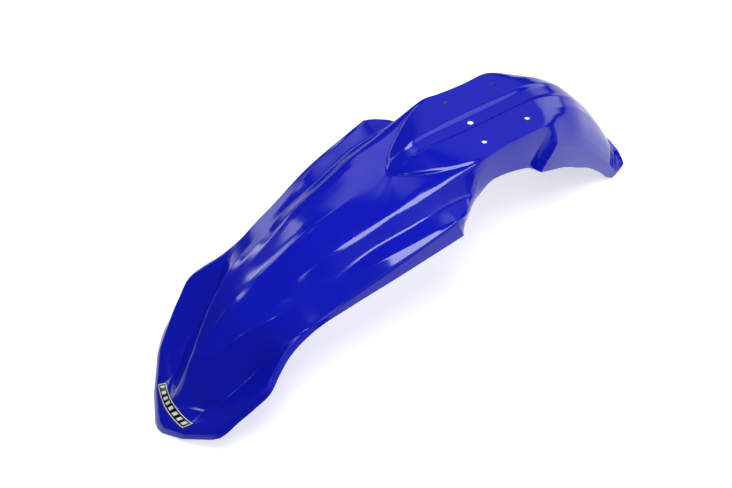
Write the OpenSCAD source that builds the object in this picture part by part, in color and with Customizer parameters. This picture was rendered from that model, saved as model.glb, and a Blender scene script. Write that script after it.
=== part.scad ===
// Motorcycle front mudguard, one moulded shell.
// Millimetres. +X runs from the nose to the tail, +Z is up, Y is the
// mirror plane's normal. The origin is under the middle of the shell, on the
// floor it rests on: the nose lip and the two rear corners touch Z = 0.

/* [Overall size] */
// Length from the nose lip to the tail lip
shell_length = 740.5; // [690:0.5:800]
// Width over the side wings
shell_width = 227; // [205:1:245]
// Height of the saddle above the floor at rest
shell_height = 228.5; // [205:0.5:245]
// Moulded wall thickness
wall = 2.5; // [2:0.1:3]

/* [Bolt holes in the saddle] */
// Diameter of the four fork crown bolt holes
bolt_hole_d = 7; // [5:0.5:8.5]
// Distance across the two front bolt holes
front_hole_spacing = 83; // [76:1:90]
// Distance across the two rear bolt holes
rear_hole_spacing = 74; // [66:1:84]
// Distance from the front pair to the rear pair along the saddle
hole_row_gap = 69; // [58:1:72]
// Distance of the bolt pattern's middle ahead of the saddle's middle
hole_pattern_lead = 4.5; // [2:0.5:8]

/* [Centre hole in the channel] */
// Diameter of the hole in the channel floor
centre_hole_d = 8; // [5:0.5:10]
// Distance of the channel hole ahead of the bolt pattern's middle
centre_hole_lead = 26; // [15:1:32]

/* [Hidden] */
hole_facets = 48;

// Ribs from nose to tail. Each rib lists its points from the mirror plane
// outwards, as [x, y, z]: centre, channel floor, channel rim, tongue top,
// tongue foot, start of the roll, spine crease, valley, shoulder, wing crease, rim crease, edge.
ribs = [
  // bottom of the nose lip
  [[-370,0,0],[-370,1.5,0],[-369.8,3,0],[-369.6,4.5,0],[-369.4,5.5,0.1],[-369.2,6.5,0.2],
   [-369,7.5,0.3],[-368.6,9,0.4],[-368,11,0.6],[-350,42,11.5],[-319,79.5,32],[-310,87,37.5]],
  // top of the nose lip
  [[-365,0,9],[-365,1.5,9],[-364.8,3,9],[-364.6,4.5,9],[-364.4,5.5,9.1],[-364.2,6.5,9.1],
   [-364,7.5,9.2],[-363.6,9,9.3],[-363,11,9.5],[-344,41,19.5],[-314,78,40],[-303,90.5,43.5]],
  // nose ridge
  [[-335,0,33],[-335,1.5,33],[-334.9,3,32.9],[-334.8,4,32.8],[-334.7,5,32.6],[-334.6,5.8,32.4],
   [-334.5,6.5,32.2],[-334.3,7.5,32],[-334,9,31.5],[-316.5,37.5,30],[-290,87,61],[-284,96,59]],
  [[-287,0,91.5],[-287,1.6,91.4],[-287,2.8,91.2],[-287,3.7,91],[-286.8,4.5,90.8],[-286.7,5.1,90.6],
   [-286.6,5.7,90.4],[-286.4,6.5,90.1],[-286,7.5,89.7],[-279,52.5,53.5],[-260,97.5,86],[-256,104.5,81]],
  // widest part of the nose
  [[-250,0,121.5],[-250,3,120.4],[-250,6,119.5],[-250,9,118.7],[-250,12,117.9],[-250,15,117.2],
   [-250,18,116.5],[-250,21.8,115.5],[-250,25.5,114.3],[-249,60,73.5],[-235,102.5,106],[-231,109.5,100]],
  [[-222,0,144.5],[-222,4.5,142.2],[-222,9,140.4],[-222,13,139],[-222,17,137.8],[-222,20.5,136.9],
   [-222,24.5,136],[-222,30.5,134.6],[-222,36.5,132.9],[-220.5,66,94.2],[-214,96.5,118],[-210,102,113.5]],
  // waist
  [[-186,0,162.5],[-186,5,160.4],[-186,9.5,158.8],[-186,14.5,157.2],[-186,20,155.6],[-186,24,154.5],
   [-186,28,153.5],[-186,39,150.9],[-186,50,147.8],[-186,78.5,126],[-186,88.5,130],[-184,93.5,125]],
  [[-150,0,176],[-150,6,173.8],[-150,11,172.4],[-150,17,171],[-150,24,169.5],[-150,28.5,168.6],
   [-150,33.5,167.4],[-150,46,163.6],[-150,59,157.3],[-150,86.3,143],[-150,87.7,141.7],[-150,91,136]],
  // side wings
  [[-92,0,197],[-92,6,195],[-92,12,193.7],[-92,20,192.5],[-92,31,190.6],[-92,41,188.4],
   [-92,45,187],[-90,63,175],[-92,75.5,170.5],[-92,93,162],[-92,94.5,159.5],[-92,97.5,149.5]],
  [[-37,0,205],[-37,6,204.6],[-37,12,204.2],[-37,22,203.4],[-37,36,202],[-37,47.5,199.6],
   [-37,52.5,197.5],[-36.5,68,186],[-37,88.5,185],[-37,100.5,178.5],[-37,102,175.5],[-37,106,162]],
  [[14,0,211.5],[14,5,211.5],[14,10,211.4],[14,18,211.3],[15,30,211],[16,52.5,209.9],
   [16,58,207.5],[16,75.5,194],[16,97.5,192],[16,104.8,188.5],[16,106,185.3],[16,110.3,169]],
  // foot of the saddle's tongue
  [[31,0,213],[31,4,213],[31,8,213],[31,13,212.9],[33,24,212.7],[32,50,212.5],
   [31,59.5,209.3],[31,76.3,195],[31,99,193.7],[31,105.2,191.5],[31,106.5,188.3],[31,111.3,170.7]],
  [[46,0,220.3],[46,4.5,220.1],[46,9,219.3],[46,13,217.8],[47,19.5,214.2],[46,49.5,214.4],
   [46,60.5,211],[46,77,195.2],[46,100.5,195.5],[45,105.6,194.5],[45.5,107,191],[46,112.2,172.4]],
  // rear corner of the wings
  [[60,0,225.4],[60,5,225.4],[60,9.5,225.5],[61,20.5,222.2],[62,31,215.3],[61,49.5,215.6],
   [61,61.5,212.8],[62,77.5,195.2],[60.5,101.7,197.5],[59,105.8,197.5],[60,107.5,193.3],[62,113,174]],
  // return wall behind the wings, in front of the fork legs
  [[70,0,226.8],[70,5.5,226.8],[70,10.2,227.8],[71,25,223.6],[72,37.5,216.2],[71,50.4,216.7],
   [70,62.4,214.1],[71,77.8,194.9],[69,99.5,196],[69.5,103.5,194.5],[70.5,104.5,184],[67,104.5,167]],
  [[79,0,226.3],[79,6,226.3],[79,10.8,228.8],[80,29,224.2],[81,42,217.2],[80,52,217.8],
   [79,63,215.3],[81,77.8,194],[78,96.5,193.8],[79,99.5,190.5],[78,97.5,179],[74.5,95.5,165.5]],
  [[88,0,225],[88,6.8,225],[88,11.3,227.6],[89,33,224.3],[90,45.5,218.1],[88.5,54,218.6],
   [87.5,63.7,216.4],[89,77.6,193],[87.5,90.5,191],[89,90.8,184.5],[89,89,176],[86,87,166]],
  [[98,0,223.3],[98,7.5,223.3],[98,12,226.6],[99,38.5,224],[100,50,218.9],[98,57,219.3],
   [97,64.4,217.6],[98.5,76.8,192],[100,80,185.5],[101,80.3,179.5],[101,79,174],[100,77.5,168.5]],
  [[112,0,220.6],[112,8,220.6],[112,12.9,224.7],[112.5,46,223.3],[113,57,219.8],[112,61,220.1],
   [111.5,65.5,219.2],[114,70.5,206],[115,71.8,197.5],[116,72,189.5],[117,72,181],[118,71.3,173]],
  // saddle with its channel and the upright walls beside the fork legs
  [[130,0,217.3],[130,8.4,217.3],[130,13.6,222.2],[130,55,221.7],[130,62,221.3],[130,64.3,221.1],
   [130,66.2,220.6],[131,67.3,213.5],[132,67.8,203.5],[133,68,194],[134,68,185],[135,67.5,176]],
  [[150,0,214.2],[150,8.6,214.2],[150,13.8,219.3],[150,50,219.2],[150,58,219],[149.8,60.8,218.8],
   [149.5,63,218.3],[150,64,212.5],[151,65,202.5],[151.5,65.6,192.5],[152,66,182.5],[152,66,173]],
  [[188,0,209],[188,8.6,209],[188,13.6,213.4],[188,50,213.3],[188,57,213.1],[188,59.1,212.9],
   [188,60.8,212.4],[188.5,61.8,206.5],[189,62.8,195],[189.5,63.6,182.5],[190,64.3,169.5],[190,65,156.5]],
  [[225,0,204.2],[225,8.4,204.2],[225,13,207.7],[225,48,207.6],[225,56,207.3],[225,58.8,207],
   [225.5,60.8,206.4],[228,61.8,199],[225,62.2,186.5],[219,62.5,172],[212.5,62.8,156],[204,63,141.5]],
  // start of the tail: the fork recess ends in a step, and the flanks behind it stand wider
  [[241,0,202.5],[241,8.2,202.5],[241,13.4,204.9],[241,38,204.4],[241,48,202.9],[240.8,53.5,201.2],
   [240.5,59,198],[239.5,66.3,189.5],[236,72.8,178.5],[228.5,73.5,168],[218.5,73.7,156],[207,73.8,143]],
  [[270,0,191.4],[270,8,191.4],[270,14.5,192.6],[269,34,190],[267,44,185.7],[264.5,50.5,182],
   [261.5,57,177.6],[255,64.5,171.3],[247.5,71.3,164.5],[240.5,72.1,156.3],[231,72.5,145.5],[221,72.7,134.7]],
  [[297,0,172.3],[297,7.5,172.3],[296.7,14.5,172.4],[294,32,168.5],[290,42,163.4],[287,48.5,160.2],
   [283,54.5,156.3],[275,61.5,150.5],[265.5,67.7,143.8],[259.8,68.5,136.5],[253.3,69.2,127.5],[246,69.6,118.5]],
  [[321,0,137.5],[321,6.5,137.4],[320.5,13,136.8],[317.5,28,133.5],[312.5,38.5,129.2],[309,44.3,127],
   [304.5,50,124.6],[297.5,57,121.4],[287,63.3,117],[282,64,111],[276,64.5,103],[269.5,64.9,94.8]],
  [[341,0,97],[341,6,96.9],[340.6,12,96.5],[337.5,26,94.3],[333,35.5,91.5],[330,41,89.9],
   [326,46.2,88],[319,52.6,84.9],[310,58.8,81],[306,59.2,77.4],[300.6,59.5,72.9],[295,59.7,68.4]],
  [[354.5,0,60.5],[354.5,5.5,60.4],[354.3,11,60.2],[352.5,24,58.7],[349.5,33,56.5],[347.7,37,55.2],
   [345.5,40.5,53.7],[339.5,47.5,50],[331.5,54.2,46.2],[328,54.5,43.2],[323.5,54.7,39.2],[318.4,54.8,34.7]],
  // crease ahead of the tail lip, then the lip's edge
  [[366,0,28],[366,5,28],[365.7,10,27.9],[364,22,27],[361,30,25.5],[359.4,33.8,24.3],
   [357.5,37,23],[354.5,44.5,18.8],[351.5,50.4,12.8],[347,50.8,10.5],[341,51,9],[334.5,51.2,8.3]],
  [[370.5,0,24.5],[370.5,5,24.5],[370.3,10,24.4],[369.5,22,23.7],[368.5,30,22.5],[367.6,33.7,21.8],
   [366.5,37,21],[365,44,18.8],[362.5,50,15.5],[356.5,50.4,10.2],[349.5,50.3,5],[342.5,50,0]]
];
// Rows of facets between each rib and the next
rib_steps = [1,2,3,2,2,2,2,3,2,2,2,1,2,1,1,1,1,1,2,1,2,2,2,2,2,2,2,2,2,1];
// How far each crease is rounded off, line by line
crease_round = [0,1.2,1.5,12,1.5,4,2.5,2.5,1.5,1.5,2,0];
// Extra facet columns between neighbouring lines
panel_points = [0,0,1,0,1,0,1,1,1,0,0];
// Largest share of a panel that one crease may round off
round_share = 0.4;

lines = len(ribs[0]);
last_rib = len(ribs) - 1;
last_line = lines - 1;

// Distance between neighbouring ribs, averaged over the lines, summed up
function rib_gap(k) =
  [for (i = [0:last_line]) norm(ribs[k+1][i] - ribs[k][i])] * [for (i = [0:last_line]) 1] / lines;
function stations(k = 0, s = 0) =
  k == last_rib ? [s] : concat([s], stations(k + 1, s + rib_gap(k)));
station = stations();

// Direction of line i where it crosses rib k
function slope(k, i) =
  k == 0 ? (ribs[1][i] - ribs[0][i]) / (station[1] - station[0]) :
  k == last_rib ? (ribs[k][i] - ribs[k-1][i]) / (station[k] - station[k-1]) :
  let (back = station[k] - station[k-1], ahead = station[k+1] - station[k])
  ((ribs[k][i] - ribs[k-1][i]) / back * ahead + (ribs[k+1][i] - ribs[k][i]) / ahead * back)
    / (back + ahead);

// Point of line i at share u of the way from rib k to rib k + 1
function along(k, u, i) =
  let (h = station[k+1] - station[k], u2 = u * u, u3 = u2 * u)
  (2*u3 - 3*u2 + 1) * ribs[k][i] + (u3 - 2*u2 + u) * h * slope(k, i)
    + (3*u2 - 2*u3) * ribs[k+1][i] + (u3 - u2) * h * slope(k + 1, i);

// Points kept on both sides of a rounded crease
function eased(rib, i, side) =
  let (run = rib[i + side] - rib[i])
  rib[i] + run * min(crease_round[i] / norm(run), round_share);
function crease(rib, i) =
  crease_round[i] == 0 ? [rib[i]] : [eased(rib, i, -1), eased(rib, i, 1)];
function panel(rib, i) =
  i == last_line ? [] :
  [for (k = [1:1:panel_points[i]]) let (v = k / (panel_points[i] + 1)) rib[i] * (1 - v) + rib[i+1] * v];
function half_row(rib) = [for (i = [0:last_line]) each concat(crease(rib, i), panel(rib, i))];
function mirrored(p) = [p[0], -p[1], p[2]];
function full_row(half) =
  concat([for (j = [len(half) - 1:-1:1]) mirrored(half[j])], half);

raw_rows = [for (k = [0:last_rib - 1]) for (n = [0:rib_steps[k] - 1])
  full_row(half_row([for (i = [0:last_line]) along(k, n / rib_steps[k], i)]))];
rows = concat(raw_rows, [full_row(half_row(ribs[last_rib]))]);
n_rows = len(rows);
n_cols = len(rows[0]);

// Scale the ribs to the chosen overall size, and centre them
xs = [for (r = rows) for (p = r) p[0]];
ys = [for (r = rows) for (p = r) p[1]];
zs = [for (r = rows) for (p = r) p[2]];
size_scale = [shell_length / (max(xs) - min(xs)), shell_width / (max(ys) - min(ys)),
              shell_height / (max(zs) - min(zs))];
middle = [(max(xs) + min(xs)) / 2, 0, min(zs)];
function sized(p) = [for (a = [0:2]) (p[a] - middle[a]) * size_scale[a]];
skin = [for (r = rows) [for (p = r) sized(p)]];

// Unit normal of the skin at a grid point, pointing away from the wheel
function unit(v) = v / norm(v);
function normal_at(r, c) = unit(cross(
  skin[min(r + 1, n_rows - 1)][c] - skin[max(r - 1, 0)][c],
  skin[r][min(c + 1, n_cols - 1)] - skin[r][max(c - 1, 0)]));
function on_floor(p) = [p[0], p[1], max(p[2], 0)];
outer = [for (r = [0:n_rows - 1]) for (c = [0:n_cols - 1]) skin[r][c]];
inner = [for (r = [0:n_rows - 1]) for (c = [0:n_cols - 1])
  on_floor(skin[r][c] - wall * normal_at(r, c))];

// Facets: outside, underside and the rim that joins them
under = n_rows * n_cols;
function at(r, c) = r * n_cols + c;
function quad(a, b, c, d, flip) = flip ? [[a, b, d], [b, c, d]] : [[a, b, c], [a, c, d]];
outer_facets = [for (r = [0:n_rows - 2]) for (c = [0:n_cols - 2])
  each quad(at(r, c), at(r, c + 1), at(r + 1, c + 1), at(r + 1, c), c < (n_cols - 1) / 2)];
inner_facets = [for (f = outer_facets) [f[2] + under, f[1] + under, f[0] + under]];
rim = concat([for (c = [0:n_cols - 2]) at(0, c)],
  [for (r = [0:n_rows - 2]) at(r, n_cols - 1)],
  [for (c = [n_cols - 1:-1:1]) at(n_rows - 1, c)],
  [for (r = [n_rows - 1:-1:1]) at(r, 0)]);
rim_facets = [for (k = [0:len(rim) - 1]) let (a = rim[k], b = rim[(k + 1) % len(rim)])
  each [[b, a, a + under], [b, a + under, b + under]]];

// The saddle's plane, read off two ribs
saddle_front = sized(ribs[20][3]);
saddle_rear = sized(ribs[22][3]);
saddle_middle = [(saddle_front[0] + saddle_rear[0]) / 2, 0, (saddle_front[2] + saddle_rear[2]) / 2];
saddle_pitch = atan2(saddle_front[2] - saddle_rear[2], saddle_rear[0] - saddle_front[0]);
drill_depth = 10 * wall;

module drill(along_saddle, across, d)
  translate(saddle_middle) rotate([0, saddle_pitch, 0])
    translate([along_saddle - hole_pattern_lead, across, 0])
      cylinder(h = 2 * drill_depth, d = d, center = true, $fn = hole_facets);

module mudguard()
  color("#1414A8")
    difference() {
      polyhedron(points = concat(outer, inner),
        faces = concat(outer_facets, inner_facets, rim_facets), convexity = 8);
      for (side = [-1, 1]) {
        drill(-hole_row_gap / 2, side * front_hole_spacing / 2, bolt_hole_d);
        drill(hole_row_gap / 2, side * rear_hole_spacing / 2, bolt_hole_d);
      }
      drill(-centre_hole_lead, 0, centre_hole_d);
    }

mudguard();
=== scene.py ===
"""Motorcycle front mudguard: one moulded shell with a label on its nose.

The shell is lofted over 31 ribs from the nose lip to the tail lip. It lies on
a pale studio floor, as the loose part does, under soft lamps.
"""

import logging
import math
from dataclasses import dataclass, field
from enum import Enum

import bmesh
import bpy
import numpy as np
from mathutils import Matrix, Vector
from mathutils.bvhtree import BVHTree


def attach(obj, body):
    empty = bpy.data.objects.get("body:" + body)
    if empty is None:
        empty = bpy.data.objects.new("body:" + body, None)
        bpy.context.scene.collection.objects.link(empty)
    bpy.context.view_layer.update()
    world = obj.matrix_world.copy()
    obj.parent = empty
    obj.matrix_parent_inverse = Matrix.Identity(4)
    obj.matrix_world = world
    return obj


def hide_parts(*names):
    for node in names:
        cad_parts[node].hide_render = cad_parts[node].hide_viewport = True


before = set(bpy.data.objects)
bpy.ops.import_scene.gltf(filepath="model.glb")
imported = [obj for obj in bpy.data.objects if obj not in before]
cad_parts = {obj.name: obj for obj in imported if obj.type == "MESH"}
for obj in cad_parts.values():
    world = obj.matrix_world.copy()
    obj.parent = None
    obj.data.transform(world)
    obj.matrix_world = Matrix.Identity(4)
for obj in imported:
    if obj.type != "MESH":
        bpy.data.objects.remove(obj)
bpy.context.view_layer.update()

LOG = logging.getLogger("mudguard")
MM = 0.001

Tree = bpy.types.NodeTree
Socket = bpy.types.NodeSocket

# The shortest length in mm that is divided by
TINY = 1e-6
# Blender's grids run this far from their middle when they are one unit wide
HALF_UNIT = 0.5
# Refraction of polypropylene and of vinyl film alike
PLASTIC_IOR = 1.5
# Most of a noise texture's values lie between these
NOISE_SPAN = (0.3, 0.7)
WHOLE = (0.0, 1.0)
SMOOTH = "SMOOTHSTEP"
# The Mix node's colour sockets share their names with its others, so they go by number
MIX_FIRST, MIX_SECOND, MIX_RESULT = 6, 7, 2
PLAN_LAYER = "label_plan"

# Ribs from nose to tail, in millimetres. Each rib lists its points from the
# mirror plane outwards: centre, channel floor, channel rim, tongue top,
# tongue foot, start of the roll, spine crease, valley, shoulder, wing crease,
# rim crease, edge.
RIBS = (
    # bottom of the nose lip
    (
        (-370, 0, 0), (-370, 1.5, 0), (-369.8, 3, 0), (-369.6, 4.5, 0),
        (-369.4, 5.5, 0.1), (-369.2, 6.5, 0.2), (-369, 7.5, 0.3), (-368.6, 9, 0.4),
        (-368, 11, 0.6), (-350, 42, 11.5), (-319, 79.5, 32), (-310, 87, 37.5),
    ),
    # top of the nose lip
    (
        (-365, 0, 9), (-365, 1.5, 9), (-364.8, 3, 9), (-364.6, 4.5, 9),
        (-364.4, 5.5, 9.1), (-364.2, 6.5, 9.1), (-364, 7.5, 9.2), (-363.6, 9, 9.3),
        (-363, 11, 9.5), (-344, 41, 19.5), (-314, 78, 40), (-303, 90.5, 43.5),
    ),
    # nose ridge
    (
        (-335, 0, 33), (-335, 1.5, 33), (-334.9, 3, 32.9), (-334.8, 4, 32.8),
        (-334.7, 5, 32.6), (-334.6, 5.8, 32.4), (-334.5, 6.5, 32.2), (-334.3, 7.5, 32),
        (-334, 9, 31.5), (-316.5, 37.5, 30), (-290, 87, 61), (-284, 96, 59),
    ),
    (
        (-287, 0, 91.5), (-287, 1.6, 91.4), (-287, 2.8, 91.2), (-287, 3.7, 91),
        (-286.8, 4.5, 90.8), (-286.7, 5.1, 90.6), (-286.6, 5.7, 90.4), (-286.4, 6.5, 90.1),
        (-286, 7.5, 89.7), (-279, 52.5, 53.5), (-260, 97.5, 86), (-256, 104.5, 81),
    ),
    # widest part of the nose
    (
        (-250, 0, 121.5), (-250, 3, 120.4), (-250, 6, 119.5), (-250, 9, 118.7),
        (-250, 12, 117.9), (-250, 15, 117.2), (-250, 18, 116.5), (-250, 21.8, 115.5),
        (-250, 25.5, 114.3), (-249, 60, 73.5), (-235, 102.5, 106), (-231, 109.5, 100),
    ),
    (
        (-222, 0, 144.5), (-222, 4.5, 142.2), (-222, 9, 140.4), (-222, 13, 139),
        (-222, 17, 137.8), (-222, 20.5, 136.9), (-222, 24.5, 136), (-222, 30.5, 134.6),
        (-222, 36.5, 132.9), (-220.5, 66, 94.2), (-214, 96.5, 118), (-210, 102, 113.5),
    ),
    # waist
    (
        (-186, 0, 162.5), (-186, 5, 160.4), (-186, 9.5, 158.8), (-186, 14.5, 157.2),
        (-186, 20, 155.6), (-186, 24, 154.5), (-186, 28, 153.5), (-186, 39, 150.9),
        (-186, 50, 147.8), (-186, 78.5, 126), (-186, 88.5, 130), (-184, 93.5, 125),
    ),
    (
        (-150, 0, 176), (-150, 6, 173.8), (-150, 11, 172.4), (-150, 17, 171),
        (-150, 24, 169.5), (-150, 28.5, 168.6), (-150, 33.5, 167.4), (-150, 46, 163.6),
        (-150, 59, 157.3), (-150, 86.3, 143), (-150, 87.7, 141.7), (-150, 91, 136),
    ),
    # side wings
    (
        (-92, 0, 197), (-92, 6, 195), (-92, 12, 193.7), (-92, 20, 192.5),
        (-92, 31, 190.6), (-92, 41, 188.4), (-92, 45, 187), (-90, 63, 175),
        (-92, 75.5, 170.5), (-92, 93, 162), (-92, 94.5, 159.5), (-92, 97.5, 149.5),
    ),
    (
        (-37, 0, 205), (-37, 6, 204.6), (-37, 12, 204.2), (-37, 22, 203.4),
        (-37, 36, 202), (-37, 47.5, 199.6), (-37, 52.5, 197.5), (-36.5, 68, 186),
        (-37, 88.5, 185), (-37, 100.5, 178.5), (-37, 102, 175.5), (-37, 106, 162),
    ),
    (
        (14, 0, 211.5), (14, 5, 211.5), (14, 10, 211.4), (14, 18, 211.3),
        (15, 30, 211), (16, 52.5, 209.9), (16, 58, 207.5), (16, 75.5, 194),
        (16, 97.5, 192), (16, 104.8, 188.5), (16, 106, 185.3), (16, 110.3, 169),
    ),
    # foot of the saddle's tongue
    (
        (28.5, 0, 212.9), (28.6, 1.5, 212.9), (29, 3, 212.9), (29.8, 5, 212.9),
        (31.5, 9.5, 212.8), (32, 50, 212.5), (31, 59.5, 209.3), (31, 76.3, 195),
        (31, 99, 193.7), (31, 105.2, 191.5), (31, 106.5, 188.3), (31, 111.3, 170.7),
    ),
    (
        (46, 0, 218.4), (46, 4, 218.4), (46, 8.5, 218.5), (44.5, 17, 217),
        (46, 22, 214.8), (46, 49.5, 214.4), (46, 60.5, 211), (46, 77, 195.2),
        (46, 100.5, 195.5), (45, 105.6, 194.5), (45.5, 107, 191), (46, 112.2, 172.4),
    ),
    # rear corner of the wings
    (
        (60, 0, 222.6), (60, 5, 222.6), (60, 9.8, 223.8), (60, 29.5, 218.7),
        (61.5, 34.3, 216.3), (61, 49.5, 215.6), (61, 61.5, 212.8), (62, 77.5, 195.2),
        (60.5, 101.7, 197.5), (59, 105.8, 197.5), (60, 107.5, 193.3), (62, 113, 174),
    ),
    # return wall behind the wings, in front of the fork legs
    (
        (70, 0, 224.6), (70, 5.5, 224.6), (70, 10.4, 227.2), (70.5, 36.5, 219.8),
        (72, 41, 217.4), (71, 50.4, 216.7), (70, 62.4, 214.1), (71, 77.8, 194.9),
        (69, 99.5, 196), (69.5, 103.5, 194.5), (70.5, 104.5, 184), (67, 104.5, 167),
    ),
    (
        (79, 0, 225.2), (79, 6, 225.2), (79, 10.8, 228.8), (80, 42, 220.6),
        (81, 46.3, 218.4), (80, 52, 217.8), (79, 63, 215.3), (81, 77.8, 194),
        (78, 96.5, 193.8), (79, 99.5, 190.5), (78, 97.5, 179), (74.5, 95.5, 165.5),
    ),
    (
        (88, 0, 224.7), (88, 6.8, 224.7), (88, 11.3, 228.2), (89, 47, 221),
        (90, 50.8, 219), (88.5, 55, 218.6), (87.5, 63.7, 216.4), (89, 77.6, 193),
        (87.5, 90.5, 191), (89, 90.8, 184.5), (89, 89, 176), (86, 87, 166),
    ),
    (
        (98, 0, 223.3), (98, 7.5, 223.3), (98, 12, 227), (99, 52, 221.8),
        (100, 55.3, 220), (98, 58.5, 219.3), (97, 64.4, 217.6), (98.5, 76.8, 192),
        (100, 80, 185.5), (101, 80.3, 179.5), (101, 79, 174), (100, 77.5, 168.5),
    ),
    (
        (112, 0, 220.6), (112, 8, 220.6), (112, 12.9, 224.8), (112.5, 57, 222.5),
        (113, 60, 220.9), (112, 62.5, 220.2), (111.5, 65.5, 219.2), (114, 70.5, 206),
        (115, 71.8, 197.5), (116, 72, 189.5), (117, 72, 181), (118, 71.3, 173),
    ),
    # saddle with its channel and the upright walls beside the fork legs
    (
        (130, 0, 217.3), (130, 8.4, 217.3), (130, 13.6, 222.2), (130, 59.5, 221.8),
        (130, 62.2, 221.4), (130, 64.3, 221.1), (130, 66.2, 220.6), (131, 67.3, 213.5),
        (132, 67.8, 203.5), (133, 68, 194), (134, 68, 185), (135, 67.5, 176),
    ),
    (
        (150, 0, 214.2), (150, 8.6, 214.2), (150, 13.8, 219.3), (150, 50, 219.2),
        (150, 58, 219), (149.8, 60.8, 218.8), (149.5, 63, 218.3), (150, 64, 212.5),
        (151, 65, 202.5), (151.5, 65.6, 192.5), (152, 66, 182.5), (152, 66, 173),
    ),
    (
        (188, 0, 209), (188, 8.6, 209), (188, 13.6, 213.4), (188, 50, 213.3),
        (188, 57, 213.1), (188, 59.1, 212.9), (188, 60.8, 212.4), (188.5, 61.8, 206.5),
        (189, 62.8, 195), (189.5, 63.6, 182.5), (190, 64.3, 169.5), (190, 65, 156.5),
    ),
    (
        (225, 0, 204.2), (225, 8.4, 204.2), (225, 13, 207.7), (225, 48, 207.6),
        (225, 56, 207.3), (225, 58.8, 207), (225.5, 60.8, 206.4), (228, 61.8, 199),
        (225, 62.2, 186.5), (219, 62.5, 172), (212.5, 62.8, 156), (204, 63, 141.5),
    ),
    # start of the tail: the fork recess ends in a step, and the flanks behind it stand wider
    (
        (241, 0, 202.5), (241, 8.2, 202.5), (241, 13.4, 204.9), (241, 38, 204.4),
        (241, 48, 202.9), (240.8, 53.5, 201.2), (240.5, 59, 198), (239.5, 66.3, 189.5),
        (236, 72.8, 178.5), (228.5, 73.5, 168), (218.5, 73.7, 156), (207, 73.8, 143),
    ),
    (
        (270, 0, 191.4), (270, 8, 191.4), (270, 14.5, 192.6), (269, 34, 190),
        (267, 44, 185.7), (264.5, 50.5, 182), (261.5, 57, 177.6), (255, 64.5, 171.3),
        (247.5, 71.3, 164.5), (240.5, 72.1, 156.3), (231, 72.5, 145.5), (221, 72.7, 134.7),
    ),
    (
        (297, 0, 172.3), (297, 7.5, 172.3), (296.7, 14.5, 172.4), (294, 32, 168.5),
        (290, 42, 163.4), (287, 48.5, 160.2), (283, 54.5, 156.3), (275, 61.5, 150.5),
        (265.5, 67.7, 143.8), (259.8, 68.5, 136.5), (253.3, 69.2, 127.5), (246, 69.6, 118.5),
    ),
    (
        (321, 0, 137.5), (321, 6.5, 137.4), (320.5, 13, 136.8), (317.5, 28, 133.5),
        (312.5, 38.5, 129.2), (309, 44.3, 127), (304.5, 50, 124.6), (297.5, 57, 121.4),
        (287, 63.3, 117), (282, 64, 111), (276, 64.5, 103), (269.5, 64.9, 94.8),
    ),
    (
        (341, 0, 97), (341, 6, 96.9), (340.6, 12, 96.5), (337.5, 26, 94.3),
        (333, 35.5, 91.5), (330, 41, 89.9), (326, 46.2, 88), (319, 52.6, 84.9),
        (310, 58.8, 81), (306, 59.2, 77.4), (300.6, 59.5, 72.9), (295, 59.7, 68.4),
    ),
    (
        (354.5, 0, 60.5), (354.5, 5.5, 60.4), (354.3, 11, 60.2), (352.5, 24, 58.7),
        (349.5, 33, 56.5), (347.7, 37, 55.2), (345.5, 40.5, 53.7), (339.5, 47.5, 50),
        (331.5, 54.2, 46.2), (328, 54.5, 43.2), (323.5, 54.7, 39.2), (318.4, 54.8, 34.7),
    ),
    # crease ahead of the tail lip, then the lip's edge
    (
        (366, 0, 28), (366, 5, 28), (365.7, 10, 27.9), (364, 22, 27),
        (361, 30, 25.5), (359.4, 33.8, 24.3), (357.5, 37, 23), (354.5, 44.5, 18.8),
        (351.5, 50.4, 12.8), (347, 50.8, 10.5), (341, 51, 9), (334.5, 51.2, 8.3),
    ),
    (
        (370.5, 0, 24.5), (370.5, 5, 24.5), (370.3, 10, 24.4), (369.5, 22, 23.7),
        (368.5, 30, 22.5), (367.6, 33.7, 21.8), (366.5, 37, 21), (365, 44, 18.8),
        (362.5, 50, 15.5), (356.5, 50.4, 10.2), (349.5, 50.3, 5), (342.5, 50, 0),
    ),
)


class Line(Enum):
    """The shell's lines, counted from the mirror plane outwards.

    They name the points of a rib in RIBS, in the same order.
    """

    CENTRE = 0
    CHANNEL_FLOOR = 1
    CHANNEL_RIM = 2
    TONGUE_TOP = 3
    TONGUE_FOOT = 4
    ROLL_START = 5
    SPINE_CREASE = 6
    VALLEY = 7
    SHOULDER = 8
    WING_CREASE = 9
    RIM_CREASE = 10
    EDGE = 11


def linear_colour(code: str) -> tuple[float, float, float, float]:
    """Turns an sRGB hex colour into the linear, opaque colour that a shader takes.

    Args:
        code: six hex digits, such as "1216A8".

    Returns:
        Red, green, blue and an alpha of 1.
    """
    parts = [int(code[i : i + 2], 16) / 255 for i in (0, 2, 4)]
    # The sRGB curve: a straight toe, then a power
    red, green, blue = (
        p / 12.92 if p <= 0.04045 else ((p + 0.055) / 1.055) ** 2.4 for p in parts
    )
    return red, green, blue, 1.0


def add_node(
    tree: Tree,
    kind: str,
    links: dict[int | str, Socket] | None = None,
    inputs: dict[int | str, object] | None = None,
    **settings: object,
) -> bpy.types.Node:
    """Adds a node with its settings, its fixed inputs and its links.

    Args:
        tree: the node tree that takes the node.
        kind: the node's type name.
        links: input name or number to the socket that feeds it.
        inputs: input name or number to its fixed value.
        **settings: the node's own properties.

    Returns:
        The new node.
    """
    node = tree.nodes.new(kind)
    for name, value in settings.items():
        setattr(node, name, value)
    for key, value in (inputs or {}).items():
        node.inputs[key].default_value = value
    for key, socket in (links or {}).items():
        tree.links.new(socket, node.inputs[key])
    return node


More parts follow.
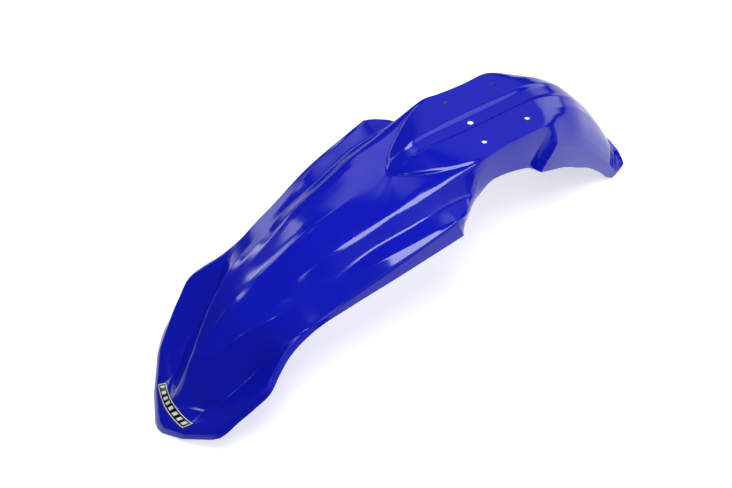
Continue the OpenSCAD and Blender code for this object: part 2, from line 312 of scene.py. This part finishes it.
def calculate(tree: Tree, operation: str, *terms: float | Socket) -> Socket:
    """Adds one step of arithmetic.

    Args:
        tree: the node tree that takes the node.
        operation: the step, as the Math node names it.
        *terms: its terms in order, each a number or the socket that feeds it.

    Returns:
        The socket with the result.
    """
    links = {k: term for k, term in enumerate(terms) if isinstance(term, Socket)}
    inputs = {k: term for k, term in enumerate(terms) if k not in links}
    return add_node(tree, "ShaderNodeMath", links, inputs, operation=operation).outputs[0]


def remap(
    tree: Tree,
    value: Socket,
    source: tuple[float, float],
    target: tuple[float, float],
    interpolation: str = "LINEAR",
) -> Socket:
    """Adds a change from one number to another, held at both ends.

    Args:
        tree: the node tree that takes the node.
        value: what the change follows.
        source: the values at which it starts and ends.
        target: the numbers that it starts and ends with.
        interpolation: how it runs, as the Map Range node names it.

    Returns:
        The socket with the changing number.
    """
    (low, high), (first, last) = source, target
    return add_node(
        tree,
        "ShaderNodeMapRange",
        {"Value": value},
        {"From Min": low, "From Max": high, "To Min": first, "To Max": last},
        interpolation_type=interpolation,
    ).outputs["Result"]


def mix_colours(tree: Tree, factor: Socket, first: str, second: str) -> Socket:
    """Adds a mix of two fixed colours.

    Args:
        tree: the node tree that takes the node.
        factor: the second colour's share.
        first: an sRGB hex colour.
        second: another one.

    Returns:
        The socket with the mixed colour.
    """
    return add_node(
        tree,
        "ShaderNodeMix",
        {"Factor": factor},
        {MIX_FIRST: linear_colour(first), MIX_SECOND: linear_colour(second)},
        data_type="RGBA",
    ).outputs[MIX_RESULT]


def new_material(name: str) -> tuple[bpy.types.Material, Tree]:
    """Makes an empty node material.

    Args:
        name: the material's name.

    Returns:
        The material and its cleared node tree.
    """
    material = bpy.data.materials.new(name)
    material.use_nodes = True
    material.node_tree.nodes.clear()
    return material, material.node_tree


def link_object(name: str, data: bpy.types.ID) -> bpy.types.Object:
    """Puts an object in the scene.

    Args:
        name: the object's name.
        data: its mesh, lamp or camera.

    Returns:
        The new object.
    """
    made = bpy.data.objects.new(name, data)
    bpy.context.scene.collection.objects.link(made)
    return made


def finish_mesh(name: str, draft: bmesh.types.BMesh) -> bpy.types.Mesh:
    """Turns a draft into a mesh and frees the draft.

    Args:
        name: the mesh's name.
        draft: what was drawn.

    Returns:
        The new mesh.
    """
    mesh = bpy.data.meshes.new(name)
    draft.to_mesh(mesh)
    draft.free()
    return mesh


def add_piece(name: str, mesh: bpy.types.Mesh) -> bpy.types.Object:
    """Puts a mesh in the scene as a piece that rides with the part.

    Args:
        name: the piece's name.
        mesh: its mesh, in the part's own frame.

    Returns:
        The new object.
    """
    piece = link_object(name, mesh)
    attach(piece, "root")
    return piece


def settle_modifiers(piece: bpy.types.Object) -> None:
    """Replaces a piece's mesh by what its modifiers make of it.

    Args:
        piece: the object to settle.
    """
    graph = bpy.context.evaluated_depsgraph_get()
    settled = bpy.data.meshes.new_from_object(piece.evaluated_get(graph))
    raw = piece.data
    piece.modifiers.clear()
    piece.data = settled
    bpy.data.meshes.remove(raw)


def shade_smooth(piece: bpy.types.Object) -> None:
    """Shades a piece's faces as one smooth surface.

    Args:
        piece: the object to shade.
    """
    for face in piece.data.polygons:
        face.use_smooth = True


@dataclass(frozen=True)
class Noise:
    """Unevenness that is fixed to a piece, by the size of its grain."""

    grain_mm: float
    detail: float = 2.0
    roughness: float = 0.5

    def build(self, tree: Tree) -> Socket:
        """Adds the noise's nodes.

        Args:
            tree: the node tree that takes them.

        Returns:
            The socket with its values, from 0 to 1.
        """
        place = add_node(tree, "ShaderNodeTexCoord").outputs["Object"]
        return add_node(
            tree,
            "ShaderNodeTexNoise",
            {"Vector": place},
            {
                "Scale": 1 / (self.grain_mm * MM),
                "Detail": self.detail,
                "Roughness": self.roughness,
            },
        ).outputs["Fac"]


@dataclass(frozen=True)
class MouldedPolypropylene:
    """Injection-moulded polypropylene coloured right through.

    A polished mould gives a wet-looking gloss with a faint orange-peel
    ripple. The back of the shell comes off a spark-eroded mould half, which
    leaves a fine satin grain.
    """

    name: str
    colour: str
    deep_colour: str
    roughness: float
    roughness_spread: float
    ripple: Noise
    ripple_depth: float
    clouds: Noise = Noise(60.0)
    haze: Noise = Noise(24.0, detail=4.0, roughness=0.6)

    def build(self) -> bpy.types.Material:
        """Makes the material.

        Returns:
            The new material.
        """
        material, tree = new_material(self.name)
        # Pigment is mixed in as pellets, so its depth drifts a little.
        pigment = mix_colours(tree, self.clouds.build(tree), self.deep_colour, self.colour)
        # Handling leaves the gloss uneven over a few centimetres.
        gloss = remap(
            tree,
            self.haze.build(tree),
            NOISE_SPAN,
            (self.roughness, self.roughness + self.roughness_spread),
        )
        bump = add_node(
            tree,
            "ShaderNodeBump",
            {"Height": self.ripple.build(tree)},
            {"Strength": 1.0, "Distance": self.ripple_depth},
        )
        shader = add_node(
            tree,
            "ShaderNodeBsdfPrincipled",
            {"Base Color": pigment, "Roughness": gloss, "Normal": bump.outputs["Normal"]},
            {"IOR": PLASTIC_IOR},
        )
        add_node(tree, "ShaderNodeOutputMaterial", {"Surface": shader.outputs["BSDF"]})
        return material


GLOSS_BLUE = MouldedPolypropylene(
    name="injection_moulded_polypropylene_gloss",
    colour="101ABC",
    deep_colour="0E17B2",
    roughness=0.09,
    roughness_spread=0.05,
    ripple=Noise(3.0),
    ripple_depth=0.004 * MM,
)
SATIN_BLUE = MouldedPolypropylene(
    name="injection_moulded_polypropylene_satin",
    colour="1418A4",
    deep_colour="101498",
    roughness=0.42,
    roughness_spread=0.1,
    ripple=Noise(0.8),
    ripple_depth=0.03 * MM,
)


@dataclass
class Shell:
    """The mudguard's single moulded shell."""

    length: float = 740.5 * MM
    width: float = 227 * MM
    height: float = 228.5 * MM
    wall: float = 2.5 * MM
    row_pitch: float = 4.2 * MM
    fine_row_pitch: float = 1.8 * MM
    fewest_rows: int = 2
    # Ribs after which the mesh's rows lie closer
    fine_ribs: tuple[int, ...] = (0, 11, 12, 13, 29)
    # Ribs that the skin folds at, each from one line outwards
    crease_ribs: dict[int, Line] = field(
        default_factory=lambda: {
            13: Line.SHOULDER,
            22: Line.VALLEY,
            23: Line.VALLEY,
        }
    )
    crease_support: float = 0.8 * MM
    # Setback in mm of each crease's rounding, line by line
    crease_round: tuple[float, ...] = (0, 1.2, 1.5, 2.5, 1.5, 4, 5, 2.5, 1.5, 1.5, 2, 0)
    # The most of a panel that one rounding takes
    round_share: float = 0.4
    arc_points: int = 5
    # Points inside each panel between neighbouring lines
    panel_points: tuple[int, ...] = (1, 1, 5, 1, 5, 1, 4, 4, 5, 1, 2)
    edge_round: float = 0.5 * MM
    edge_segments: int = 3
    sharp_angle: float = math.radians(40)
    shading_weight: int = 50
    bolt_hole_d: float = 7 * MM
    front_hole_spacing: float = 83 * MM
    rear_hole_spacing: float = 74 * MM
    hole_row_gap: float = 69 * MM
    hole_pattern_lead: float = 4.5 * MM
    centre_hole_d: float = 8 * MM
    centre_hole_lead: float = 26 * MM
    drill_segments: int = 64
    # How many walls deep the drills are
    drill_walls: int = 20
    saddle_ribs: tuple[int, int] = (20, 22)
    lines: np.ndarray = field(default_factory=lambda: np.array(RIBS, dtype=float))
    # What takes the ribs to the part's own frame, known once the skin is drawn
    scale: np.ndarray = field(init=False)
    middle: np.ndarray = field(init=False)

    def stations(self) -> np.ndarray:
        """Distance of each rib from the nose, averaged over the lines."""
        gaps = np.linalg.norm(np.diff(self.lines, axis=0), axis=2).mean(axis=1)
        return np.concatenate([[0.0], np.cumsum(gaps)])

    def slopes(self) -> tuple[np.ndarray, np.ndarray]:
        """Direction of each line just before and just after each rib.

        Returns:
            The arriving and the leaving slopes, which differ only at creases.
        """
        gaps = np.diff(self.stations())[:, None, None]
        steps = np.diff(self.lines, axis=0) / gaps
        inner = (steps[:-1] * gaps[1:] + steps[1:] * gaps[:-1]) / (gaps[:-1] + gaps[1:])
        arriving = np.concatenate([steps[:1], inner, steps[-1:]])
        leaving = arriving.copy()
        for rib, line in self.crease_ribs.items():
            arriving[rib, line.value :] = steps[rib - 1, line.value :]
            leaving[rib, line.value :] = steps[rib, line.value :]
        return arriving, leaving

    def row_shares(self) -> np.ndarray:
        """Places of the mesh's rows, as whole and part ribs."""
        gaps = np.diff(self.stations()) * MM
        shares: list[float] = []
        for rib, gap in enumerate(gaps):
            pitch = self.fine_row_pitch if rib in self.fine_ribs else self.row_pitch
            count = max(self.fewest_rows, round(gap / pitch))
            shares += [rib + k / count for k in range(count)]
            near = self.crease_support / gap
            if rib in self.crease_ribs:
                shares.append(rib + near)
            if rib + 1 in self.crease_ribs:
                shares.append(rib + 1 - near)
        return np.array(sorted(shares) + [float(len(gaps))])

    def line_points(self, shares: np.ndarray) -> np.ndarray:
        """Points of every line at the given places between the ribs.

        Each line is a cubic from rib to rib that keeps its slopes.

        Args:
            shares: places as whole and part ribs.

        Returns:
            An array of rows, lines and coordinates, in millimetres.
        """
        gaps = np.diff(self.stations())
        arriving, leaving = self.slopes()
        rib = np.minimum(shares.astype(int), len(gaps) - 1)
        u = (shares - rib)[:, None, None]
        gap = gaps[rib][:, None, None]
        return (
            (2 * u**3 - 3 * u**2 + 1) * self.lines[rib]
            + (u**3 - 2 * u**2 + u) * gap * leaving[rib]
            + (3 * u**2 - 2 * u**3) * self.lines[rib + 1]
            + (u**3 - u**2) * gap * arriving[rib + 1]
        )

    def crease_arc(self, points: np.ndarray, line: int) -> np.ndarray:
        """One line's own points in a row: its crease, rounded or sharp.

        A rounding is a quadratic arc between two points set back from the crease.

        Args:
            points: the row's point on each line.
            line: which line it is.

        Returns:
            The arc's points, or the crease alone.
        """
        corner = points[line]
        if self.crease_round[line] <= 0:
            return corner[None]
        ends = []
        for side in (-1, 1):
            run = points[line + side] - corner
            reach = max(np.linalg.norm(run), TINY)
            cut = min(self.crease_round[line] / reach, self.round_share)
            ends.append(corner + run * cut)
        t = np.linspace(0, 1, self.arc_points)[:, None]
        return ends[0] * (1 - t) ** 2 + 2 * corner * t * (1 - t) + ends[1] * t**2

    def half_section(self, points: np.ndarray) -> np.ndarray:
        """One row's points from the mirror plane to the edge.

        Args:
            points: the row's point on each line.

        Returns:
            The row's mesh points.
        """
        row = [points[0]]
        for line, count in enumerate(self.panel_points, start=1):
            start, arc = row[-1], self.crease_arc(points, line)
            # The panel is divided evenly
            for k in range(1, count + 1):
                row.append(start + (arc[0] - start) * k / (count + 1))
            row.extend(arc)
        return np.array(row)

    def skin(self) -> np.ndarray:
        """The outer skin as rows of points, in metres, at its full size."""
        half = np.array([self.half_section(p) for p in self.line_points(self.row_shares())])
        near = half[:, :0:-1] * np.array([1.0, -1.0, 1.0])
        rows = np.concatenate([near, half], axis=1)
        low, high = rows.min(axis=(0, 1)), rows.max(axis=(0, 1))
        self.scale = np.array([self.length, self.width, self.height]) / (high - low)
        self.middle = np.array([(low[0] + high[0]) / 2, 0.0, low[2]])
        return (rows - self.middle) * self.scale

    def saddle_matrix(self) -> Matrix:
        """The frame of the bolt pattern: X along the saddle, Z out of it."""
        front, rear = (
            Vector((self.lines[rib][Line.TONGUE_TOP.value] - self.middle) * self.scale)
            for rib in self.saddle_ribs
        )
        middle = (front + rear) / 2
        middle.y = 0.0
        pitch = math.atan2(front.z - rear.z, rear.x - front.x)
        return (
            Matrix.Translation(middle)
            @ Matrix.Rotation(pitch, 4, "Y")
            @ Matrix.Translation((-self.hole_pattern_lead, 0, 0))
        )

    def cutter(self) -> bpy.types.Object:
        """The drills for the four bolt holes and the channel hole."""
        half_gap = self.hole_row_gap / 2
        holes = [(-self.centre_hole_lead, 0.0, self.centre_hole_d)]
        for side in (-0.5, 0.5):
            holes.append((-half_gap, side * self.front_hole_spacing, self.bolt_hole_d))
            holes.append((half_gap, side * self.rear_hole_spacing, self.bolt_hole_d))
        drill = bmesh.new()
        for along, across, diameter in holes:
            bmesh.ops.create_cone(
                drill,
                cap_ends=True,
                segments=self.drill_segments,
                radius1=diameter / 2,
                radius2=diameter / 2,
                depth=self.drill_walls * self.wall,
                matrix=self.saddle_matrix() @ Matrix.Translation((along, across, 0)),
            )
        return link_object("drills", finish_mesh("drills", drill))

    def sheet(self) -> bpy.types.Mesh:
        """The outer skin as a mesh without thickness."""
        rows = self.skin()[:, ::-1]
        n_rows, n_cols = rows.shape[:2]
        draft = bmesh.new()
        bmesh.ops.create_grid(
            draft, x_segments=n_cols - 1, y_segments=n_rows - 1, size=HALF_UNIT
        )
        for vertex in draft.verts:
            col = round((vertex.co.x + HALF_UNIT) * (n_cols - 1))
            row = round((vertex.co.y + HALF_UNIT) * (n_rows - 1))
            vertex.co = Vector(rows[row, col])
        return finish_mesh("mudguard_shell", draft)

    def drill_holes(self, shell: bpy.types.Object) -> None:
        """Cuts the holes out of the shell.

        Args:
            shell: the shell with its wall.
        """
        drills = self.cutter()
        cut = shell.modifiers.new("holes", "BOOLEAN")
        cut.operation = "DIFFERENCE"
        cut.solver = "EXACT"
        cut.object = drills
        settle_modifiers(shell)
        drill_mesh = drills.data
        bpy.data.objects.remove(drills)
        bpy.data.meshes.remove(drill_mesh)

    def build(self) -> bpy.types.Object:
        """Lofts the shell, gives it its wall, drills it and rounds its edges.

        Returns:
            The shell.
        """
        shell = add_piece("mudguard_shell", self.sheet())
        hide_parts("mudguard")
        for finish in (GLOSS_BLUE, SATIN_BLUE):
            shell.data.materials.append(finish.build())
        wall = shell.modifiers.new("wall", "SOLIDIFY")
        wall.thickness = self.wall
        wall.offset = -1.0
        wall.use_even_offset = True
        # The back takes the satin finish, and the rim keeps the gloss.
        wall.material_offset = 1
        wall.material_offset_rim = 0
        settle_modifiers(shell)
        self.seat_on_floor(shell)
        self.drill_holes(shell)
        edges = shell.modifiers.new("edges", "BEVEL")
        edges.width = self.edge_round
        edges.segments = self.edge_segments
        edges.limit_method = "ANGLE"
        edges.angle_limit = self.sharp_angle
        settle_modifiers(shell)
        shade_smooth(shell)
        weigh = shell.modifiers.new("shading", "WEIGHTED_NORMAL")
        weigh.weight = self.shading_weight
        weigh.keep_sharp = True
        return shell

    @staticmethod
    def seat_on_floor(shell: bpy.types.Object) -> None:
        """Trims the lips' undersides flat, so that they sit on the floor.

        Args:
            shell: the shell with its wall.
        """
        for vertex in shell.data.vertices:
            vertex.co.z = max(vertex.co.z, 0.0)


@dataclass(frozen=True)
class VinylLabel:
    """A printed vinyl film across the nose: plain slanted bars in a keyline.

    It is laid out on plan, U from the far side of the nose to the near side
    and V up the nose, and then drawn down onto the shell.
    """

    # Where the label's middle line crosses the mirror plane, and how much it
    # bows towards the saddle away from it, per metre
    nose_x: float = -342 * MM
    bow: float = 4.5
    far_y: float = 40 * MM
    length: float = 79 * MM
    half_width: float = 7 * MM
    slant: float = 0.5
    cells: tuple[int, int] = (96, 16)
    # Height above the floor that the plan is drawn down from
    plan_height: float = 0.2
    lift: float = 0.16 * MM
    film: float = 0.1 * MM
    margin: float = 1.0 * MM
    keyline: float = 1.1 * MM
    bar_pitch: float = 9.5 * MM
    bar_share: float = 0.5
    bar_inset: float = 4.0 * MM
    black: str = "0C0C0E"
    white: str = "E6E6E4"
    wear: Noise = Noise(6.0, detail=3.0)
    roughness: tuple[float, float] = (0.16, 0.26)

    def plan(self, corner: Vector) -> tuple[float, float]:
        """Where a corner of the unit grid lies on the label's own plan.

        Args:
            corner: the corner in the grid.

        Returns:
            Its distances along the label and across it.
        """
        return (corner.x + HALF_UNIT) * self.length, 2 * corner.y * self.half_width

    def build(self, shell: bpy.types.Object) -> bpy.types.Object:
        """Lays the film on the shell.

        Args:
            shell: the settled shell, in the part's own frame.

        Returns:
            The label.
        """
        faces = [tuple(face.vertices) for face in shell.data.polygons]
        skin = BVHTree.FromPolygons([v.co.copy() for v in shell.data.vertices], faces)
        draft = bmesh.new()
        cells_along, cells_across = self.cells
        bmesh.ops.create_grid(
            draft, x_segments=cells_along, y_segments=cells_across, size=HALF_UNIT
        )
        layout = draft.loops.layers.uv.new(PLAN_LAYER)
        for face in draft.faces:
            for loop in face.loops:
                loop[layout].uv = self.plan(loop.vert.co)
        for vertex in draft.verts:
            along, across = self.plan(vertex.co)
            y = self.far_y - along - self.slant * across
            above = Vector((self.nose_x + self.bow * y**2 + across, y, self.plan_height))
            place, normal, _, _ = skin.ray_cast(above, Vector((0, 0, -1)))
            vertex.co = place + normal * self.lift
        label = add_piece("nose_label", finish_mesh("nose_label", draft))
        label.data.materials.append(self.finish())
        wall = label.modifiers.new("film", "SOLIDIFY")
        wall.thickness = self.film
        wall.offset = -1.0
        settle_modifiers(label)
        shade_smooth(label)
        return label

    def ink(self, tree: Tree) -> Socket:
        """Adds the label's drawing: a keyline with a row of bars inside it.

        Args:
            tree: the material's node tree.

        Returns:
            The socket that is 1 where there is white ink.
        """
        plan = add_node(tree, "ShaderNodeUVMap", uv_map=PLAN_LAYER).outputs["UV"]
        axes = add_node(tree, "ShaderNodeSeparateXYZ", {"Vector": plan})
        along, across = axes.outputs["X"], axes.outputs["Y"]
        half_length = self.length / 2

        def inside(inset: float) -> Socket:
            """Is 1 farther inside the label's outline than the inset."""
            return calculate(
                tree,
                "MULTIPLY",
                calculate(tree, "COMPARE", along, half_length, half_length - inset),
                calculate(tree, "COMPARE", across, 0.0, self.half_width - inset),
            )

        line = calculate(
            tree, "SUBTRACT", inside(self.margin), inside(self.margin + self.keyline)
        )
        turns = calculate(tree, "MULTIPLY", along, 1 / self.bar_pitch)
        share = calculate(tree, "FRACT", turns)
        bar = calculate(tree, "COMPARE", share, 0.5, self.bar_share / 2)
        bars = calculate(tree, "MULTIPLY", bar, inside(self.bar_inset))
        return calculate(tree, "ADD", line, bars)

    def finish(self) -> bpy.types.Material:
        """Makes the printed film: gloss black with white ink.

        Returns:
            The new material.
        """
        material, tree = new_material("gloss_printed_vinyl_film")
        printed = mix_colours(tree, self.ink(tree), self.black, self.white)
        # A screen-printed film is never quite even in its gloss.
        gloss = remap(tree, self.wear.build(tree), NOISE_SPAN, self.roughness)
        shader = add_node(
            tree,
            "ShaderNodeBsdfPrincipled",
            {"Base Color": printed, "Roughness": gloss},
            {"IOR": PLASTIC_IOR},
        )
        add_node(tree, "ShaderNodeOutputMaterial", {"Surface": shader.outputs["BSDF"]})
        return material


@dataclass(frozen=True)
class StudioFloor:
    """A seamless sheet of matt white paper under the part, with painted light: it darkens away
    from a painted lit patch, and glows for the camera and in the part's gloss.
    """

    reach: float = 6.0
    colour: str = "F4F4F6"
    # Painted shade: the colour the paper darkens to far from the lit patch
    painted_falloff_colour: str = "3C3C40"
    roughness: float = 0.9
    specular: float = 0.1
    # Middle of the painted lit patch, its stretch along each axis, and the distances over which
    # the painted light on the paper dies away
    lit_middle: tuple[float, float, float] = (1.2, 0.0, 0.0)
    lit_stretch: tuple[float, float, float] = (0.45, 0.75, 1.0)
    lit_radius: tuple[float, float] = (0.6, 1.0)
    # Painted light on the paper, on the lit patch and far from it: a glow that the camera sees,
    # and a painted reflection glow that only the gloss of the part sees
    painted_camera_glow: tuple[float, float] = (0.55, 1.0)
    painted_reflection_glow: tuple[float, float] = (0.4, 0.0)

    def farness(self, tree: Tree) -> Socket:
        """Adds how far a place on the paper is from the lit patch.

        Args:
            tree: the material's node tree.

        Returns:
            The socket that is 0 on the patch and 1 far from it.
        """
        place = add_node(tree, "ShaderNodeTexCoord").outputs["Object"]
        for operation, term in (("SUBTRACT", self.lit_middle), ("MULTIPLY", self.lit_stretch)):
            place = add_node(
                tree, "ShaderNodeVectorMath", {0: place}, {1: term}, operation=operation
            ).outputs["Vector"]
        radius = add_node(tree, "ShaderNodeVectorMath", {0: place}, operation="LENGTH")
        return remap(tree, radius.outputs["Value"], self.lit_radius, WHOLE, SMOOTH)

    def paper(self) -> bpy.types.Material:
        """Makes the paper, with its painted light and painted shade.

        Returns:
            The new material.
        """
        material, tree = new_material("matt_background_paper")
        ray = add_node(tree, "ShaderNodeLightPath")
        far = self.farness(tree)
        # Painted shade: the paper's colour darkens from white to dark grey away from the lit
        # patch
        matt = add_node(
            tree,
            "ShaderNodeBsdfPrincipled",
            {"Base Color": mix_colours(tree, far, self.colour, self.painted_falloff_colour)},
            {"Roughness": self.roughness, "Specular IOR Level": self.specular},
        )
        # Painted light: the paper glows for the camera, and glows again only in the part's
        # gloss as a painted reflection.
        to_camera = remap(tree, far, WHOLE, self.painted_camera_glow, SMOOTH)
        to_gloss = remap(tree, far, WHOLE, self.painted_reflection_glow, SMOOTH)
        seen = calculate(
            tree,
            "MULTIPLY_ADD",
            ray.outputs["Is Glossy Ray"],
            to_gloss,
            calculate(tree, "MULTIPLY", ray.outputs["Is Camera Ray"], to_camera),
        )
        glow = add_node(tree, "ShaderNodeEmission", {"Strength": seen})
        lit = add_node(
            tree, "ShaderNodeAddShader", {0: matt.outputs["BSDF"], 1: glow.outputs["Emission"]}
        )
        # From below the paper is clear, so that the underside can be looked at.
        clear = add_node(tree, "ShaderNodeBsdfTransparent")
        from_below = add_node(tree, "ShaderNodeNewGeometry").outputs["Backfacing"]
        surface = add_node(
            tree,
            "ShaderNodeMixShader",
            {0: from_below, 1: lit.outputs["Shader"], 2: clear.outputs["BSDF"]},
        )
        add_node(tree, "ShaderNodeOutputMaterial", {"Surface": surface.outputs["Shader"]})
        return material

    def build(self) -> None:
        """Makes the floor."""
        draft = bmesh.new()
        bmesh.ops.create_grid(draft, x_segments=1, y_segments=1, size=self.reach)
        floor = link_object("studio_floor", finish_mesh("studio_floor", draft))
        floor.data.materials.append(self.paper())


@dataclass(frozen=True)
class SoftBox:
    """A square or long studio lamp behind a diffuser."""

    name: str
    place: tuple[float, float, float]
    size: tuple[float, float]
    power: float
    aim: tuple[float, float, float] = (0.0, 0.0, 0.12)

    def build(self) -> None:
        """Makes the lamp and points it at its aim."""
        lamp = bpy.data.lights.new(self.name, "AREA")
        lamp.shape = "RECTANGLE"
        lamp.size, lamp.size_y = self.size
        lamp.energy = self.power
        box = link_object(self.name, lamp)
        box.location = self.place
        look = Vector(self.aim) - Vector(self.place)
        box.rotation_euler = look.to_track_quat("-Z", "Y").to_euler()


@dataclass(frozen=True)
class Glow:
    """A soft bright part of the room, as seen from the part.

    Azimuths run from +X towards +Y and heights up from the horizon, both in
    degrees. The glow is full inside its reach and fades over its soft border.
    """

    azimuth: float
    height: float
    reach: float
    border: float
    strength: float
    # Heights over which a wall's glow fades upwards; none for a round glow
    top: tuple[float, float] | None = None

    def build(self, tree: Tree, gaze: Socket) -> Socket:
        """Adds the glow's nodes.

        Args:
            tree: the room's node tree.
            gaze: the direction looked in.

        Returns:
            The glow's brightness in that direction.
        """
        turn, lift = math.radians(self.azimuth), math.radians(self.height)
        aim = (math.cos(turn) * math.cos(lift), math.sin(turn) * math.cos(lift), math.sin(lift))
        closeness = add_node(
            tree, "ShaderNodeVectorMath", {0: gaze}, {1: aim}, operation="DOT_PRODUCT"
        ).outputs["Value"]
        outer, inner = (
            math.cos(math.radians(angle)) for angle in (self.reach + self.border, self.reach)
        )
        shine = remap(tree, closeness, (outer, inner), (0.0, self.strength), SMOOTH)
        if self.top is None:
            return shine
        rise = add_node(tree, "ShaderNodeSeparateXYZ", {"Vector": gaze}).outputs["Z"]
        low, high = (math.sin(math.radians(angle)) for angle in self.top)
        return calculate(
            tree, "MULTIPLY", shine, remap(tree, rise, (low, high), (1.0, 0.0), SMOOTH)
        )


@dataclass
class Studio:
    """The floor, the lamps, the room round them and the camera."""

    floor: StudioFloor = field(default_factory=StudioFloor)
    boxes: tuple[SoftBox, ...] = (
        SoftBox("key_softbox", (-1.2, 1.77, 1.6), (1.4, 0.7), 9.0),
        SoftBox(
            "overhead_softbox", (-0.08, -0.44, 1.75), (0.84, 0.84), 19.5, (-0.08, -0.44, 0.0)
        ),
    )
    # Each by its azimuth, height, reach, border and strength
    glows: tuple[Glow, ...] = (
        Glow(84, 0, 12, 12, 1.8, top=(5, 12)),
        Glow(84, 48, 3, 8, 1.4),
        Glow(106, 15, 2, 4, 5.0),
        Glow(45, 40, 8, 20, 0.35),
        Glow(20, 14, 8, 12, 2.0),
        Glow(-75, 15, 25, 35, 0.4),
        Glow(-45, 32, 18, 12, 1.4),
        Glow(-166, 21, 2, 2, 7.0),
        Glow(-165, 51, 2, 2.5, 8.0),
    )
    room_colour: str = "F4F6FF"
    room_dark: float = 0.05
    backdrop: str = "FFFFFF"
    camera_place: tuple[float, float, float] = (-0.3442, -0.88081, 1.35026)
    camera_right: tuple[float, float, float] = (0.8328, -0.5301, -0.1596)
    camera_up: tuple[float, float, float] = (0.5134, 0.6318, 0.5807)
    camera_back: tuple[float, float, float] = (-0.2071, -0.5655, 0.7983)
    lens: float = 59.02
    sensor: float = 36.0

    def build_camera(self) -> None:
        """Makes the camera at the photograph's place and turn."""
        data = bpy.data.cameras.new("camera")
        data.lens = self.lens
        data.sensor_width = self.sensor
        data.sensor_fit = "HORIZONTAL"
        camera = link_object("camera", data)
        turn = Matrix((self.camera_right, self.camera_up, self.camera_back)).transposed()
        camera.matrix_world = Matrix.Translation(self.camera_place) @ turn.to_4x4()
        bpy.context.scene.camera = camera

    def build_room(self) -> None:
        """Makes the room: dim with a few glows, and plain white behind the part."""
        world = bpy.data.worlds.new("studio_room")
        world.use_nodes = True
        tree = world.node_tree
        tree.nodes.clear()
        gaze = add_node(tree, "ShaderNodeTexCoord").outputs["Generated"]
        total, *others = (glow.build(tree, gaze) for glow in self.glows)
        for part in (*others, self.room_dark):
            total = calculate(tree, "ADD", total, part)
        sky = add_node(
            tree,
            "ShaderNodeBackground",
            {"Strength": total},
            {"Color": linear_colour(self.room_colour)},
        )
        white = add_node(
            tree,
            "ShaderNodeBackground",
            inputs={"Color": linear_colour(self.backdrop), "Strength": 1.0},
        )
        room = add_node(
            tree,
            "ShaderNodeMixShader",
            {
                0: add_node(tree, "ShaderNodeLightPath").outputs["Is Camera Ray"],
                1: sky.outputs["Background"],
                2: white.outputs["Background"],
            },
        )
        add_node(tree, "ShaderNodeOutputWorld", {"Surface": room.outputs["Shader"]})
        bpy.context.scene.world = world

    def build(self) -> None:
        """Builds the whole studio."""
        self.build_room()
        self.floor.build()
        for box in self.boxes:
            box.build()
        self.build_camera()


def main() -> None:
    """Builds the shell, its label and the studio, and notes the model's size."""
    logging.basicConfig(level=logging.INFO, format="%(name)s: %(message)s")
    bpy.context.scene.view_settings.view_transform = "Standard"
    shell = Shell().build()
    label = VinylLabel().build(shell)
    for piece in (shell, label):
        LOG.info("%s: %d faces", piece.name, len(piece.data.polygons))
    Studio().build()


if __name__ == "__main__":
    main()
